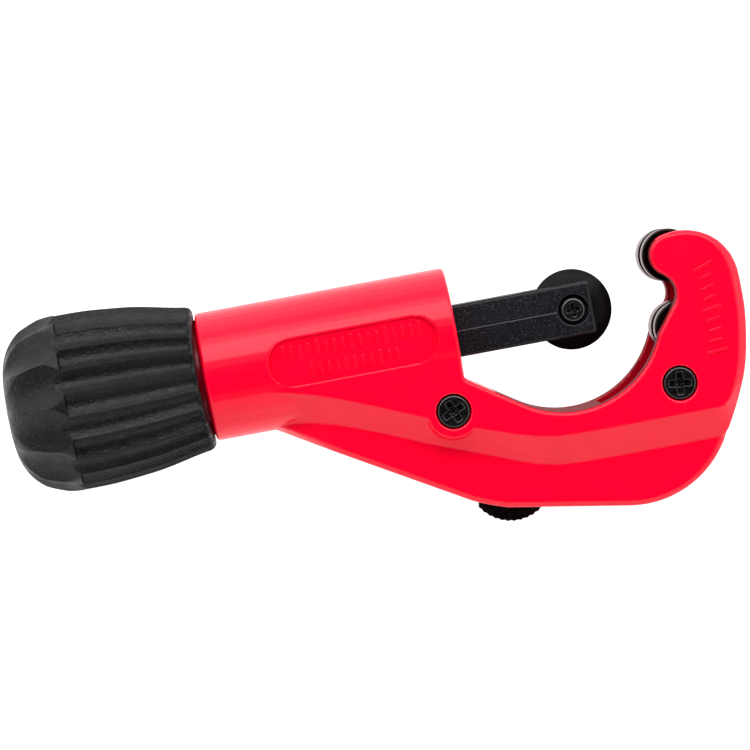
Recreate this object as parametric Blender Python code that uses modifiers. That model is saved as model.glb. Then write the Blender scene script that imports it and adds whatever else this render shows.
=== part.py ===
"""Telescoping-slide pipe cutter, built from separate pieces.

The pieces are modelled in tool axes: X runs along the feed axis towards the jaw and is 0 close to the
tube's front face, Y points away from the C jaw's back, and Z points out of the near cheek. The feed axis is
Y = Z = 0. An empty carries the tool axes, so that the world origin is under the middle of the tool as it
lies on its far side.
"""

import math

import bmesh
import bpy
from mathutils import Matrix, Vector

MM = 0.001
CLEARANCE = 0.3 * MM

# Tube and neck
TUBE_RADIUS = 15.5 * MM
TUBE_FRONT_X = -1.2 * MM
TUBE_BACK_X = -61.85 * MM
NECK_RADIUS = 13.8 * MM
NECK_BACK_X = -84.0 * MM
BULKHEAD_X = -69.6 * MM
NECK_BORE_RADIUS = 5.8 * MM

# C jaw
CHEEK_HALF = 14.3 * MM
WEB_HALF = 8.5 * MM
RIM_ROUNDING = 1.2 * MM
THROAT_CENTRE = Vector((24.3, -0.2)) * MM
THROAT_RADIUS = 23.4 * MM
THROAT_RUN_ANGLE = math.radians(-34)
HEEL_CENTRE = Vector((36.5, -24.5)) * MM
HEEL_RADIUS = 24.4 * MM
BACK_EDGE_ANGLE = math.radians(-9.8)
JAW_SLOT_HALF = 8.9 * MM

# Rollers
ROLLER_X = 51.95 * MM
ROLLER_Y = 8.78 * MM
ROLLER_RADIUS = 6.35 * MM
ROLLER_HALF = 8.6 * MM
PIN_RADIUS = 2.5 * MM

# Feed screw, slide and wheel
FEED_RADIUS = 3.4 * MM
FEED_TIP_X = -16.0 * MM
COLLAR_RADIUS = 6.0 * MM
SLIDE_HALF_HEIGHT = 6.2 * MM
SLIDE_HALF_WIDTH = 6.5 * MM
SLIDE_TAIL_X = -31.5 * MM
SLIDE_END_X = 32.2 * MM
WHEEL_X = 27.5 * MM
WHEEL_RADIUS = 9.7 * MM
FORK_HALF = 2.8 * MM
INSERT_LENGTH = 12.0 * MM

# Knob
KNOB_RIM_X = -63.4 * MM
KNOB_END_X = -109.7 * MM
KNOB_RADIUS = 21.25 * MM
RIM_GROWTH = 1.2 * MM
FLUTES = 24
SCALLOPS = 12

# Reamer and through screws
REAMER_PIVOT = Vector((-5.3, -18.3)) * MM
EYE_RADIUS = 5.4 * MM
TAB_CENTRE = Vector((5.7, -37.2)) * MM
TAB_RADIUS = 10.4 * MM
REAMER_TIP = Vector((37.0, -41.0)) * MM
REAMER_SLOT_HALF = 1.7 * MM
JAW_SCREW = Vector((48.75, -21.52)) * MM
M4_RADIUS = 1.95 * MM
M4_HEAD_RADIUS = 3.85 * MM
M4_HEAD_TOP = 14.0 * MM

# Paint, plastic and metal: colour, roughness, metallic
FINISHES = {
    "red_paint": ((0.75, 0.0, 0.02), 0.35, 0.0),
    "black_plastic": ((0.03, 0.03, 0.03), 0.6, 0.0),
    "black_casting": ((0.02, 0.02, 0.022), 0.55, 0.5),
    "black_steel": ((0.02, 0.02, 0.02), 0.3, 0.9),
    "plain_steel": ((0.5, 0.48, 0.47), 0.3, 1.0),
    "brass": ((0.72, 0.5, 0.2), 0.3, 1.0),
}


# ---------------------------------------------------------------- helpers


def clear_scene():
    for obj in list(bpy.data.objects):
        bpy.data.objects.remove(obj)


def new_collection(name):
    collection = bpy.data.collections.new(name)
    bpy.context.scene.collection.children.link(collection)
    return collection


def make_materials():
    made = {}
    for name, (colour, roughness, metallic) in FINISHES.items():
        material = bpy.data.materials.new(name)
        material.use_nodes = True
        shader = material.node_tree.nodes["Principled BSDF"]
        shader.inputs["Base Color"].default_value = (*colour, 1)
        shader.inputs["Roughness"].default_value = roughness
        shader.inputs["Metallic"].default_value = metallic
        made[name] = material
    return made


def add_object(name, mesh, location, collection, finish=None):
    obj = bpy.data.objects.new(name, mesh)
    obj.location = location
    obj.parent = tool_axes
    collection.objects.link(obj)
    if finish:
        mesh.materials.append(materials[finish])
    return obj


def add_part(name, mesh, location, finish):
    return add_object(name, mesh, location, parts, finish)


def add_cutter(name, mesh, location=(0, 0, 0)):
    obj = add_object(name, mesh, location, cutters)
    obj.hide_render = True
    obj.display_type = "WIRE"
    return obj


def combine(obj, other, operation="DIFFERENCE"):
    modifier = obj.modifiers.new(f"{operation.lower()} {other.name}", "BOOLEAN")
    modifier.object = other
    modifier.operation = operation
    return obj


def smooth(obj, degrees=35):
    obj.data.shade_smooth()
    obj.data.set_sharp_from_angle(angle=math.radians(degrees))


def turned_mesh(profile, steps, along="X", name="turned"):
    """Turns (distance along the axis, radius) points, from the far end to the near one, about X or Z."""
    work = bmesh.new()
    points = [work.verts.new((radius, 0, distance)) for distance, radius in profile]
    edges = [work.edges.new(pair) for pair in zip(points, points[1:])]
    if profile[0][1] > 0:
        edges.append(work.edges.new((points[-1], points[0])))
    bmesh.ops.spin(
        work, geom=points + edges, cent=(0, 0, 0), axis=(0, 0, 1), angle=math.tau, steps=steps, use_merge=True
    )
    bmesh.ops.remove_doubles(work, verts=work.verts, dist=0.001 * MM)
    if along == "X":
        bmesh.ops.rotate(work, verts=work.verts, matrix=Matrix.Rotation(math.radians(90), 3, "Y"))
    bmesh.ops.recalc_face_normals(work, faces=work.faces)
    mesh = bpy.data.meshes.new(name)
    work.to_mesh(mesh)
    work.free()
    mesh.shade_smooth()
    mesh.set_sharp_from_angle(angle=math.radians(35))
    return mesh


def rod_mesh(start, end, radius, steps=32, along="X", chamfer=0.0):
    """A solid rod between two distances along its axis, with a chamfer at each end."""
    profile = [(end, 0), (end, radius - chamfer), (start, radius - chamfer), (start, 0)]
    if chamfer:
        profile[2:2] = [(end - chamfer, radius), (start + chamfer, radius)]
    return turned_mesh(profile, steps, along)


def ring_mesh(start, end, inner, outer, steps=32, along="X", chamfer=0.0):
    """A sleeve or washer between two distances along its axis."""
    profile = [(end, inner), (end, outer - chamfer), (start, outer - chamfer), (start, inner)]
    if chamfer:
        profile[2:2] = [(end - chamfer, outer), (start + chamfer, outer)]
    return turned_mesh(profile, steps, along)


def plate_mesh(outline, low, high, name="plate"):
    """A flat outline given in X and Y, filled and extruded from z = low to z = high."""
    curve = bpy.data.curves.new(name, "CURVE")
    curve.dimensions = "2D"
    curve.fill_mode = "BOTH"
    curve.extrude = (high - low) / 2
    spline = curve.splines.new("POLY")
    spline.points.add(len(outline) - 1)
    for point, (x, y) in zip(spline.points, outline):
        point.co = (x, y, 0, 1)
    spline.use_cyclic_u = True
    guide = bpy.data.objects.new(name, curve)
    cutters.objects.link(guide)
    mesh = bpy.data.meshes.new_from_object(guide.evaluated_get(bpy.context.evaluated_depsgraph_get()))
    bpy.data.objects.remove(guide)
    work = bmesh.new()
    work.from_mesh(mesh)
    bmesh.ops.remove_doubles(work, verts=work.verts, dist=0.001 * MM)
    bmesh.ops.translate(work, verts=work.verts, vec=(0, 0, (low + high) / 2))
    bmesh.ops.recalc_face_normals(work, faces=work.faces)
    work.to_mesh(mesh)
    work.free()
    return mesh


def box_mesh(low, high):
    """An axis-aligned box between two corners."""
    low, high = Vector(low), Vector(high)
    work = bmesh.new()
    bmesh.ops.create_cube(work, size=1)
    bmesh.ops.scale(work, vec=high - low, verts=work.verts)
    bmesh.ops.translate(work, vec=(low + high) / 2, verts=work.verts)
    mesh = bpy.data.meshes.new("box")
    work.to_mesh(mesh)
    work.free()
    return mesh


def arc(centre, radius, start, end, steps):
    """Points on an arc, angles in degrees."""
    angles = [math.radians(start + (end - start) * i / steps) for i in range(steps + 1)]
    return [(centre[0] + radius * math.cos(a), centre[1] + radius * math.sin(a)) for a in angles]


def spline_through(points, steps):
    """A Catmull-Rom curve through the points, without its last point."""
    ends = [points[0]] + list(points) + [points[-1]]
    curve = []
    for before, start, end, after in zip(ends, ends[1:], ends[2:], ends[3:]):
        before, start, end, after = map(Vector, (before, start, end, after))
        for i in range(steps):
            t = i / steps
            point = 2 * start + (end - before) * t
            point += (2 * before - 5 * start + 4 * end - after) * t**2
            point += (3 * start - before - 3 * end + after) * t**3
            curve.append(tuple(point / 2))
    return curve


def height_at(x, knots):
    """The height of a line through (x, y) knots, which run from left to right."""
    x = min(max(x, knots[0][0]), knots[-1][0])
    for (x0, y0), (x1, y1) in zip(knots, knots[1:]):
        if x <= x1:
            return y0 + (y1 - y0) * (x - x0) / (x1 - x0)
    return knots[-1][1]


def in_metres(points):
    return [(x * MM, y * MM) for x, y in points]


def hexagon(centre, across_flats, turn=0):
    return arc(centre, across_flats / math.sqrt(3), turn, turn + 300, 5)


def cross_recess(screw, radius, top, centre=(0, 0)):
    """Cuts a plain cross into a screw's head, whose top is at z = top."""
    width = 0.16 * radius
    for name, across, along in (("a", radius * 0.62, width), ("b", width, radius * 0.62)):
        low = (centre[0] - across, centre[1] - along, top - radius * 0.35)
        high = (centre[0] + across, centre[1] + along, top + 1 * MM)
        combine(screw, add_cutter(f"{screw.name}_recess_{name}", box_mesh(low, high)))


# ---------------------------------------------------------------- frame

# The jaw's outer edge from the heel up the outside and over the top, to the tip's round end
JAW_OUTSIDE = in_metres(
    [
        (57.9, -36.1), (61.4, -29.3), (65.2, -19.6), (67.1, -9.1), (67.4, -1.5), (66.9, 4.6), (64.6, 9.2),
        (61.1, 12.3), (56.6, 14.0), (52.4, 14.1),
    ]
)  # fmt: skip

# The sloping band that joins the thick cheeks to the thin web, as its upper and lower edges
BAND_UPPER = in_metres(
    [
        (-47.6, -6.0), (-41.5, -7.2), (-30.6, -10.7), (-12.4, -18.4), (0, -23.4), (14.2, -27.9), (26, -28.8),
        (56, -28.7),
    ]
)  # fmt: skip
BAND_LOWER = in_metres(
    [
        (-48, -14), (-38.3, -15), (-25.4, -19.4), (-12.4, -24.9), (-1, -29.3), (14, -35.0), (27, -36.1),
        (57.9, -36.1),
    ]
)  # fmt: skip
BAND_LIFT = Vector((0, 6.2)) * MM
CHEEK_EDGE = 2.0 * MM
INNER_EDGE = 0.6 * MM


def throat_side():
    """The jaw's inner edge, from the front face along the throat and round both rollers to the top."""
    tangent = arc(THROAT_CENTRE, THROAT_RADIUS, -124, -22, 21)
    front_x = TUBE_FRONT_X - 0.2 * MM
    start_y = tangent[0][1] - (tangent[0][0] - front_x) * math.tan(THROAT_RUN_ANGLE)
    front = [(front_x, 0), (front_x, start_y + 0.3 * MM), (front_x + 0.5 * MM, start_y - 0.4 * MM)]
    notch = arc((47.1 * MM, 0.25 * MM), 4.75 * MM, -45, 52, 8)
    lobe = arc((52.1 * MM, 8.8 * MM), 5.1 * MM, 236, 96, 10)
    return front + tangent + notch + lobe


def back_side():
    """The frame's outer edge, from the jaw's top down to the heel and back along the web to the tube."""
    outside = spline_through(JAW_OUTSIDE, 3)[::-1]
    heel = arc(HEEL_CENTRE, HEEL_RADIUS, -32, -99.8, 14)
    slope = math.tan(BACK_EDGE_ANGLE)
    edge = [(x, heel[-1][1] + (x - heel[-1][0]) * slope) for x in (28 * MM, 23 * MM, 18 * MM, 13 * MM, 8 * MM)]
    corner = (3.5 * MM, heel[-1][1] + (3.5 * MM - heel[-1][0]) * slope)
    rounded = spline_through([corner, (-0.4 * MM, -42.2 * MM), (-4.3 * MM, -40.6 * MM)], 3)
    grip_steps = 10
    grip = [(-4.3 * MM - t * 4.36 * MM, -40.6 * MM + t * 2.54 * MM) for t in range(grip_steps + 1)]
    return outside + heel + edge + rounded + grip


def height_on(x, knots):
    """The height at x of the smooth curve through the knots."""
    return height_at(x, spline_through(knots, 5) + [knots[-1]])


def edge_stack(point, inward):
    """The (x, y, z) of one place on the back edge: rim, web, band's lower edge and band's upper edge."""
    x, y = point
    heel_x, heel_y = JAW_OUTSIDE[0]
    # The web thins where it runs out on the tube.
    run_out = 3.5 * MM * min(max((-34 * MM - x) / (14 * MM), 0), 1)
    rim_z = WEB_HALF - RIM_ROUNDING - 1.8 * run_out
    web_z = WEB_HALF - run_out
    if y > heel_y and x > heel_x - 8 * MM:
        # Beside the jaw the cheeks reach the edge, and their rounded edge takes over from the band.
        share = min((y - heel_y) / (12 * MM), 1)
        inset = CHEEK_EDGE * (1 - 0.6 * min(max((y - 5 * MM) / (8 * MM), 0), 1))
        wall = web_z + (CHEEK_HALF - inset - web_z) * share
        lift = BAND_LIFT * (1 - share) ** 2
        upper = (x + inward[0] * inset + lift.x, y + inward[1] * inset + lift.y, CHEEK_HALF)
        return [(x, y, rim_z), (x, y, web_z), (x, y, max(wall, web_z + 0.05 * MM)), upper]
    web = (x + inward[0] * RIM_ROUNDING, y + inward[1] * RIM_ROUNDING, web_z)
    lower = (x, max(height_on(x, BAND_LOWER), web[1]), web_z + 0.05 * MM)
    upper = (min(x, 56 * MM), height_on(x, BAND_UPPER), CHEEK_HALF)
    return [(x, y, rim_z), web, lower, upper]


def throat_stack(point, inward):
    x, y = point
    straight = CHEEK_HALF - INNER_EDGE
    stack = [(x, y, WEB_HALF - RIM_ROUNDING), (x, y, WEB_HALF), (x, y, straight)]
    return stack + [(x + inward[0] * INNER_EDGE, y + inward[1] * INNER_EDGE, CHEEK_HALF)]


def inward_normals(points):
    """The normal of a closed clockwise outline at each point, towards its inside."""
    normals = []
    for before, after in zip(points[-1:] + points[:-1], points[1:] + points[:1]):
        along = (Vector(after) - Vector(before)).normalized()
        normals.append((along.y, -along.x))
    return normals


def jaw_mesh():
    """The C-shaped casting: one outline, lofted through the web, the sloping band and the cheeks."""
    throat, back = throat_side(), back_side()
    # Where the casting runs into the tube, the loft ends inside it.
    levels = [WEB_HALF - RIM_ROUNDING, WEB_HALF, WEB_HALF + 0.05 * MM, CHEEK_HALF]
    end_heights = [-12.5 * MM, -11.8 * MM, -11.0 * MM, -4.5 * MM]
    loft_end = [(-49.5 * MM, y, z) for y, z in zip(end_heights, levels)]
    normals = inward_normals(throat + back + [loft_end[0][:2]])
    stacks = [throat_stack(point, normal) for point, normal in zip(throat, normals)]
    stacks += [edge_stack(point, normal) for point, normal in zip(back, normals[len(throat) :])]
    stacks.append(loft_end)
    stacks.append([(-49.0 * MM, 0, z) for z in levels])

    work = bmesh.new()
    rings = []
    for side, order in ((-1, (3, 2, 1, 0)), (1, (0, 1, 2, 3))):
        for level in order:
            places = [stack[level] for stack in stacks]
            rings.append([work.verts.new((x, y, side * z)) for x, y, z in places])
    for lower, upper in zip(rings, rings[1:]):
        for i in range(len(lower)):
            quad = (lower[i - 1], lower[i], upper[i], upper[i - 1])
            work.faces.new(quad)
    for ring in (rings[0], rings[-1]):
        work.faces.new(ring)
    bmesh.ops.remove_doubles(work, verts=work.verts, dist=0.001 * MM)
    bmesh.ops.triangulate(work, faces=work.faces)
    bmesh.ops.recalc_face_normals(work, faces=work.faces)
    mesh = bpy.data.meshes.new("jaw")
    work.to_mesh(mesh)
    work.free()
    return mesh


def tube_mesh():
    profile = [
        (TUBE_FRONT_X, 0),
        (TUBE_FRONT_X, TUBE_RADIUS - 0.7 * MM),
        (TUBE_FRONT_X - 0.2 * MM, TUBE_RADIUS - 0.2 * MM),
        (TUBE_FRONT_X - 0.7 * MM, TUBE_RADIUS),
        (TUBE_BACK_X + 0.5 * MM, TUBE_RADIUS),
        (TUBE_BACK_X, TUBE_RADIUS - 0.5 * MM),
        (TUBE_BACK_X, NECK_RADIUS),
        (NECK_BACK_X + 0.6 * MM, NECK_RADIUS),
        (NECK_BACK_X, NECK_RADIUS - 0.6 * MM),
        (NECK_BACK_X, 0),
    ]
    return turned_mesh(profile, 48)


def stadium(centre_x, length, height, steps=10):
    radius = height / 2
    reach = length / 2 - radius
    right = arc((centre_x + reach, 0), radius, -90, 90, steps)
    left = arc((centre_x - reach, 0), radius, 90, 270, steps)
    return right + left


def jaw_slot_outline():
    """The space between the cheeks: it opens on the throat and over the top of the upper roller."""
    floor = [(29.5, -20.0), (30.2, -24.2), (33.5, -26.6), (40.0, -27.9), (49.0, -28.3), (55.5, -26.6)]
    back = [(58.6, -21.5), (59.3, -14.0), (59.4, 0), (59.3, 8.0), (57.8, 12.6), (56.4, 16.0)]
    mouth = [(44.0, 16.0), (40.0, 8.0), (38.5, 0), (36.5, -9.0)]
    return in_metres(floor + back + mouth)


def reamer_slot_outline():
    """The blade's slot: its closed side clears the blade as it swings, and the back edge is open."""
    reach = (TAB_CENTRE - REAMER_PIVOT).length + TAB_RADIUS + 1.2 * MM
    swing = arc(REAMER_PIVOT, reach, 232, 183, 8)
    around_eye = arc(REAMER_PIVOT, EYE_RADIUS + 0.7 * MM, 120, 15, 6)
    over_blade = in_metres([(10.4, -25.0), (38.6, -39.4), (39.4, -42.0)])
    outside = in_metres([(41.0, -52.0), (-34.0, -52.0)])
    return swing + around_eye + over_blade + outside


def through_screw_cuts(frame, name, centre):
    """The near counterbore, the clearance hole and the far nut pocket of a through screw."""
    top = CHEEK_HALF + 1 * MM
    seat = M4_HEAD_TOP - 2.9 * MM
    wide = M4_HEAD_RADIUS + 0.35 * MM
    narrow = M4_RADIUS + 0.35 * MM
    profile = [(top, 0), (top, wide), (seat, wide), (seat, narrow), (-12.5 * MM, narrow), (-12.5 * MM, 0)]
    combine(frame, add_cutter(f"{name}_hole", turned_mesh(profile, 30, "Z"), (*centre, 0)))
    pocket = plate_mesh(hexagon((0, 0), 7.7 * MM, 7), -top, -10.9 * MM)
    combine(frame, add_cutter(f"{name}_nut_pocket", pocket, (*centre, 0)))


def make_frame():
    frame = add_part("frame", tube_mesh(), (0, 0, 0), "red_paint")
    combine(frame, add_cutter("jaw", jaw_mesh()), "UNION")
    x, y = REAMER_PIVOT
    boss = turned_mesh(
        [
            (CHEEK_HALF - 0.1 * MM, 0),
            (CHEEK_HALF - 0.1 * MM, 6.1 * MM),
            (CHEEK_HALF - 0.6 * MM, 6.5 * MM),
            (5 * MM, 7.4 * MM),
            (-5 * MM, 7.4 * MM),
            (0.6 * MM - CHEEK_HALF, 6.5 * MM),
            (0.1 * MM - CHEEK_HALF, 6.1 * MM),
            (0.1 * MM - CHEEK_HALF, 0),
        ],
        32,
        "Z",
    )
    combine(frame, add_cutter("pivot_boss", boss, (x, y, 0)), "UNION")

    cuts = {
        "slide_bore": box_mesh(
            (-65.4 * MM, -SLIDE_HALF_HEIGHT - CLEARANCE, -SLIDE_HALF_WIDTH - CLEARANCE),
            (1 * MM, SLIDE_HALF_HEIGHT + CLEARANCE, SLIDE_HALF_WIDTH + CLEARANCE),
        ),
        "wheel_slot": box_mesh((-15.6 * MM, -9.9 * MM, -FORK_HALF), (1 * MM, 9.9 * MM, FORK_HALF)),
        "neck_bore": turned_mesh(
            [
                (-65.0 * MM, 0),
                (-65.0 * MM, COLLAR_RADIUS + 0.4 * MM),
                (BULKHEAD_X, COLLAR_RADIUS + 0.4 * MM),
                (BULKHEAD_X, NECK_BORE_RADIUS),
                (NECK_BACK_X - 1 * MM, NECK_BORE_RADIUS),
                (NECK_BACK_X - 1 * MM, 0),
            ],
            32,
        ),
        "near_label_pocket": plate_mesh(stadium(-26.1 * MM, 40.8 * MM, 11 * MM), 13.8 * MM, 16 * MM),
        "far_label_pocket": plate_mesh(stadium(-26.1 * MM, 40.8 * MM, 11 * MM), -16 * MM, -13.8 * MM),
        "jaw_slot": plate_mesh(jaw_slot_outline(), -JAW_SLOT_HALF, JAW_SLOT_HALF),
        "reamer_slot": plate_mesh(reamer_slot_outline(), -REAMER_SLOT_HALF, REAMER_SLOT_HALF),
    }
    for side in (-1, 1):
        hole = rod_mesh(-CHEEK_HALF - 1 * MM, 12.4 * MM, PIN_RADIUS + CLEARANCE, 24, "Z")
        hole.transform(Matrix.Translation((ROLLER_X, side * ROLLER_Y, 0)))
        cuts[f"roller_pin_hole_{side}"] = hole
    for name, mesh in cuts.items():
        combine(frame, add_cutter(name, mesh))
    through_screw_cuts(frame, "reamer_screw", REAMER_PIVOT)
    through_screw_cuts(frame, "jaw_screw", JAW_SCREW)
    return frame


# ---------------------------------------------------------------- feed


def make_feed():
    shank_end = -87.8 * MM
    screw_profile = [
        (FEED_TIP_X, 0),
        (FEED_TIP_X, FEED_RADIUS - 0.8 * MM),
        (FEED_TIP_X - 0.8 * MM, FEED_RADIUS),
        (-66.0 * MM, FEED_RADIUS),
        (-66.0 * MM, COLLAR_RADIUS),
        (-68.2 * MM, COLLAR_RADIUS),
        (-68.2 * MM, 3.9 * MM),
        (-85.3 * MM, 3.9 * MM),
        (-85.3 * MM, 2.9 * MM),
        (-86.5 * MM, 2.9 * MM),
        (-86.5 * MM, 3.9 * MM),
        (shank_end, 3.9 * MM),
        (shank_end, 3.4 * MM),
        (-98.5 * MM, 3.4 * MM),
        (-98.5 * MM, 0),
    ]
    feed_screw = add_part("feed_screw", turned_mesh(screw_profile, 28), (0, 0, 0), "plain_steel")
    flat = box_mesh((-99 * MM, 2.6 * MM, -4 * MM), (shank_end, 5 * MM, 4 * MM))
    combine(feed_screw, add_cutter("feed_screw_flat", flat))
    tapped = rod_mesh(-99 * MM, -88.5 * MM, 2.0 * MM, 20)
    combine(feed_screw, add_cutter("feed_screw_tapped_end", tapped))

    add_part("thrust_washer", ring_mesh(-69.3 * MM, -68.5 * MM, 4.3 * MM, 6.0 * MM), (0, 0, 0), "brass")
    bush = ring_mesh(-83.9 * MM, -69.9 * MM, 4.2 * MM, 5.5 * MM, 28)
    add_part("bearing_bush", bush, (0, 0, 0), "brass")
    add_part("wave_washer", ring_mesh(-84.9 * MM, -84.3 * MM, 4.3 * MM, 7.0 * MM), (0, 0, 0), "plain_steel")
    clip_ring = ring_mesh(-86.2 * MM, -85.6 * MM, 3.2 * MM, 6.4 * MM)
    clip = add_part("retaining_clip", clip_ring, (0, 0, 0), "plain_steel")
    mouth = box_mesh((-87 * MM, 0, -2.2 * MM), (-85 * MM, 8 * MM, 2.2 * MM))
    combine(clip, add_cutter("retaining_clip_mouth", mouth))


# ---------------------------------------------------------------- knob

KNOB_PROFILE = [
    (-63.4, 16.4), (-63.8, 17.1), (-64.6, 17.5), (-66, 17.8), (-70, 18.75), (-76, 19.95), (-82, 20.65),
    (-88, 21.15), (-94, 21.25), (-94.8, 21.25), (-95.4, 21.25), (-98, 21.05), (-101, 20.4), (-103.5, 19.2),
    (-105.6, 17.5), (-107.5, 15.1), (-108.9, 12.0), (-109.5, 9.0), (-109.7, 7.0),
]  # fmt: skip
SKIRT_END_X = -95.0 * MM


def flute_depth(x, angle):
    """How far the grip is cut in at a place on the knob: narrow flutes on the skirt, wide scallops behind."""
    if x > SKIRT_END_X:
        share = min((KNOB_RIM_X - x) / (2 * MM), 1)
        return 0.9 * MM * share * math.cos(FLUTES * angle / 2) ** 2
    along = (SKIRT_END_X - x) / (SKIRT_END_X - KNOB_END_X)
    reach = math.sin(math.pi * min(max(along, 0), 1)) ** 0.7
    return 1.5 * MM * reach * math.sin(SCALLOPS * angle / 2) ** 2


def rim_growth(x, angle):
    """The rim is longer above and below than at its near and far sides."""
    return RIM_GROWTH * math.cos(angle) ** 2 * min(max(1 - (KNOB_RIM_X - x) / (5 * MM), 0), 1)


def make_knob():
    profile = [(x * MM, r * MM) for x, r in KNOB_PROFILE]
    mesh = turned_mesh([(KNOB_RIM_X, 0)] + profile + [(KNOB_END_X, 0)], FLUTES * 2)
    for vertex in mesh.vertices:
        x, y, z = vertex.co
        radius = math.hypot(y, z)
        if radius > 7.5 * MM:
            angle = math.atan2(z, y)
            scale = 1 - flute_depth(x, angle) / radius
            vertex.co = (x + rim_growth(x, angle), y * scale, z * scale)
    knob = add_part("knob", mesh, (0, 0, 0), "black_plastic")
    smooth(knob, 30)
    hollow_end = -86.8 * MM
    insert_end = -99.3 * MM
    cuts = {
        "knob_hollow": rod_mesh(hollow_end, -61.5 * MM, NECK_RADIUS + 0.5 * MM, 36),
        "knob_insert_space": turned_mesh(
            [(hollow_end + 1 * MM, 0), (hollow_end + 1 * MM, 8.4 * MM), (insert_end, 8.4 * MM), (insert_end, 0)], 6
        ),
        "knob_screw_hole": rod_mesh(-103 * MM, -98 * MM, 2.4 * MM, 24),
        "knob_head_space": rod_mesh(-109 * MM, -101.5 * MM, 5.2 * MM, 24),
        "knob_plug_space": rod_mesh(-112 * MM, KNOB_END_X + 2.2 * MM, 6.5 * MM, 32),
    }
    for name, cutter in cuts.items():
        combine(knob, add_cutter(name, cutter))

    outer = 8.4 * MM - 0.35 * MM
    block = turned_mesh([(-88.2 * MM, 0), (-88.2 * MM, outer), (-99 * MM, outer), (-99 * MM, 0)], 6)
    insert = add_part("knob_insert", block, (0, 0, 0), "plain_steel")
    socket = rod_mesh(-100 * MM, -87 * MM, 3.4 * MM + CLEARANCE, 28)
    socket_cutter = add_cutter("knob_insert_socket", socket)
    flat = box_mesh((-101 * MM, 2.9 * MM, -5 * MM), (-86 * MM, 6 * MM, 5 * MM))
    combine(socket_cutter, add_cutter("knob_insert_flat", flat))
    combine(insert, socket_cutter)

    washer = ring_mesh(-102.6 * MM, -101.8 * MM, 2.3 * MM, 4.8 * MM, 28)
    add_part("knob_washer", washer, (0, 0, 0), "plain_steel")
    screw_profile = [
        (-90 * MM, 0),
        (-90 * MM, 1.3 * MM),
        (-90.4 * MM, 1.7 * MM),
        (-102.9 * MM, 1.7 * MM),
        (-102.9 * MM, 3.8 * MM),
        (-104.2 * MM, 3.8 * MM),
        (-105.2 * MM, 2.8 * MM),
        (-105.2 * MM, 0),
    ]
    screw = add_part("knob_screw", turned_mesh(screw_profile, 24), (0, 0, 0), "plain_steel")
    for name, reach_y, reach_z in (("a", 2.2 * MM, 0.5 * MM), ("b", 0.5 * MM, 2.2 * MM)):
        slot = box_mesh((-106 * MM, -reach_y, -reach_z), (-104 * MM, reach_y, reach_z))
        combine(screw, add_cutter(f"knob_screw_recess_{name}", slot))
    plug_profile = [
        (KNOB_END_X + 1.9 * MM, 0),
        (KNOB_END_X + 1.9 * MM, 6.2 * MM),
        (KNOB_END_X + 0.5 * MM, 6.2 * MM),
        (KNOB_END_X + 0.1 * MM, 5.6 * MM),
        (KNOB_END_X + 0.1 * MM, 0),
    ]
    add_part("knob_end_plug", turned_mesh(plug_profile, 32), (0, 0, 0), "black_plastic")


# ---------------------------------------------------------------- slide and wheel


def make_slide():
    tail = (SLIDE_TAIL_X, -SLIDE_HALF_HEIGHT, -SLIDE_HALF_WIDTH)
    body = box_mesh(tail, (SLIDE_END_X, SLIDE_HALF_HEIGHT, SLIDE_HALF_WIDTH))
    slide = add_part("slide", body, (0, 0, 0), "black_casting")
    rounding = slide.modifiers.new("rounded edges", "BEVEL")
    rounding.width = 0.6 * MM
    rounding.segments = 2
    bore_radius = FEED_RADIUS + 0.5 * MM
    slot_root = WHEEL_X - WHEEL_RADIUS - 1.2 * MM
    insert_end = SLIDE_TAIL_X + INSERT_LENGTH
    slot_half = FORK_HALF - 0.1 * MM
    cuts = {
        "fork_slot": box_mesh((slot_root, -8 * MM, -slot_half), (40 * MM, 8 * MM, slot_half)),
        "slide_bore": rod_mesh(SLIDE_TAIL_X - 1 * MM, slot_root + 1 * MM, bore_radius, 24),
        "insert_seat": rod_mesh(SLIDE_TAIL_X - 1 * MM, insert_end + 0.6 * MM, 5.2 * MM, 28),
    }
    for name, mesh in cuts.items():
        combine(slide, add_cutter(f"slide_{name}", mesh))
    screw_hole = [
        (8 * MM, 0),
        (8 * MM, 3.7 * MM),
        (4 * MM, 3.7 * MM),
        (4 * MM, 2.4 * MM + CLEARANCE),
        (0, 2.4 * MM + CLEARANCE),
        (0, 1.7 * MM + CLEARANCE),
        (-8 * MM, 1.7 * MM + CLEARANCE),
        (-8 * MM, 0),
    ]
    combine(slide, add_cutter("wheel_screw_hole", turned_mesh(screw_hole, 28, "Z"), (WHEEL_X, 0, 0)))

    insert = ring_mesh(SLIDE_TAIL_X + 0.2 * MM, insert_end + 0.2 * MM, FEED_RADIUS + CLEARANCE, 4.9 * MM, 28)
    add_part("slide_insert", insert, (0, 0, 0), "brass")


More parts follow.
